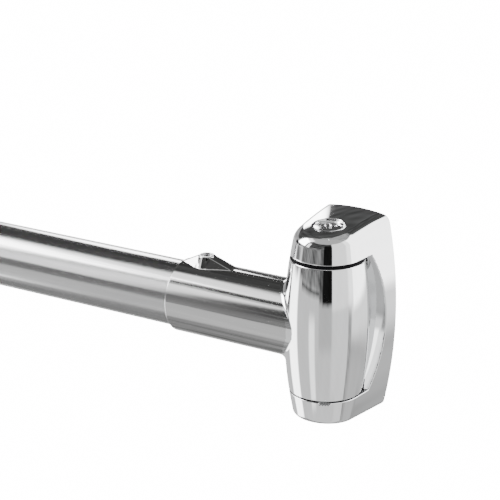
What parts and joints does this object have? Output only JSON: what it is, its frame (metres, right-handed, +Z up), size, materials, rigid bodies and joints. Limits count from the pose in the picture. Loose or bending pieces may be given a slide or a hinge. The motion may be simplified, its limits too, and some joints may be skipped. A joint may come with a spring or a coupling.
{
  "type": "window security bar",
  "caption": "Round metal bar clamped in sleeves whose barrels swivel between the arms of cast wall brackets, to bar or span a window opening.",
  "frame": {"origin": "under the middle of the bar, at the lowest level of the two brackets' feet and midway between the barrels' fronts and the wall faces", "axes": "+X along the bar, +Y towards the wall, +Z up, parallel to both pivot screws"},
  "size_m": [0.6344, 0.0378, 0.0764],
  "materials": {
    "satin_tube": "satin",
    "satin_casting": "satin",
    "polished_casting": "polished",
    "bright_screw": "satin",
    "plated_fastener": "satin",
    "nylon": "matte",
    "dark_washer": "matte"
  },
  "bodies": {
    "tube": {"tube": "satin_tube"},
    "left_swivel": {"left_swivel_socket": "satin_casting", "left_upper_bush": "nylon", "left_lower_bush": "nylon", "left_thrust_washer": "dark_washer"},
    "left_bracket": {"left_wall_bracket": "polished_casting", "left_pivot_screw": "bright_screw", "left_pivot_nut": "plated_fastener", "left_lock_washer": "plated_fastener"},
    "left_clamp": {"left_clamp_screw": "plated_fastener", "left_clamp_tip": "nylon"},
    "right_swivel": {"right_swivel_socket": "satin_casting", "right_upper_bush": "nylon", "right_lower_bush": "nylon", "right_thrust_washer": "dark_washer"},
    "right_bracket": {"right_wall_bracket": "polished_casting", "right_pivot_screw": "bright_screw", "right_pivot_nut": "plated_fastener", "right_lock_washer": "plated_fastener"},
    "right_clamp": {"right_clamp_screw": "plated_fastener", "right_clamp_tip": "nylon"}
  },
  "joints": [
    {"name": "left_socket_slide", "type": "slide", "parent": "tube", "child": "left_swivel", "axis": [-1, 0, 0], "range_m": [-0.008, 0.008]},
    {"name": "left_bracket_swing", "type": "hinge", "parent": "left_swivel", "child": "left_bracket", "pos_m": [-0.3, -0.0035, 0.03759], "axis": [0, 0, 1], "range_deg": [0, 180]},
    {"name": "left_clamp_travel", "type": "slide", "parent": "left_swivel", "child": "left_clamp", "axis": [0, 0, 1], "range_m": [0, 0.002]},
    {"name": "right_socket_slide", "type": "slide", "parent": "tube", "child": "right_swivel", "axis": [1, 0, 0], "range_m": [-0.008, 0.008]},
    {"name": "right_bracket_swing", "type": "hinge", "parent": "right_swivel", "child": "right_bracket", "pos_m": [0.3, -0.0035, 0.03759], "axis": [0, 0, 1], "range_deg": [-180, 0]},
    {"name": "right_clamp_travel", "type": "slide", "parent": "right_swivel", "child": "right_clamp", "axis": [0, 0, 1], "range_m": [0, 0.002]}
  ]
}
